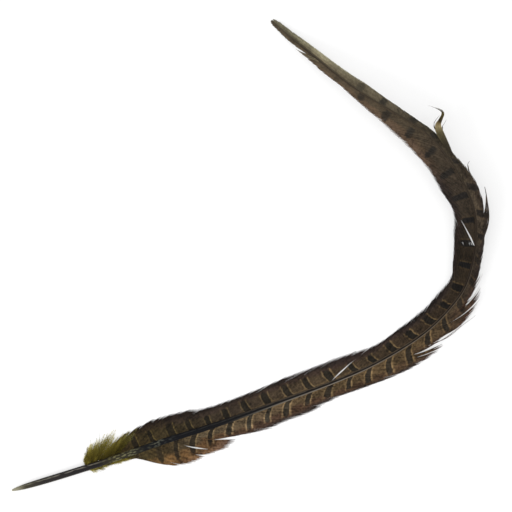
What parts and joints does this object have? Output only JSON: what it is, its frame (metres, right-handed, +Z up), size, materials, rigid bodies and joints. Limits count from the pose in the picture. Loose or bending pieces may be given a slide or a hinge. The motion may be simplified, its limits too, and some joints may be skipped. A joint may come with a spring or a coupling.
{
  "type": "pheasant tail feather",
  "caption": "Long narrow barred tail feather of a cock pheasant, with a bare quill, downy base and split vanes, bent into a hook and lying flat.",
  "frame": {"origin": "middle of the feather's outline as seen from above, on the surface it lies on", "axes": "+Z up, out of the surface that the feather lies on; the quill points to -X and -Y, the bend is at +X and the tip is at +Y"},
  "size_m": [0.3055, 0.3046, 0.0134],
  "materials": {
    "feather": "matt with a slight silky sheen"
  },
  "bodies": {
    "root": {"tail_feather": "feather"}
  },
  "joints": []
}
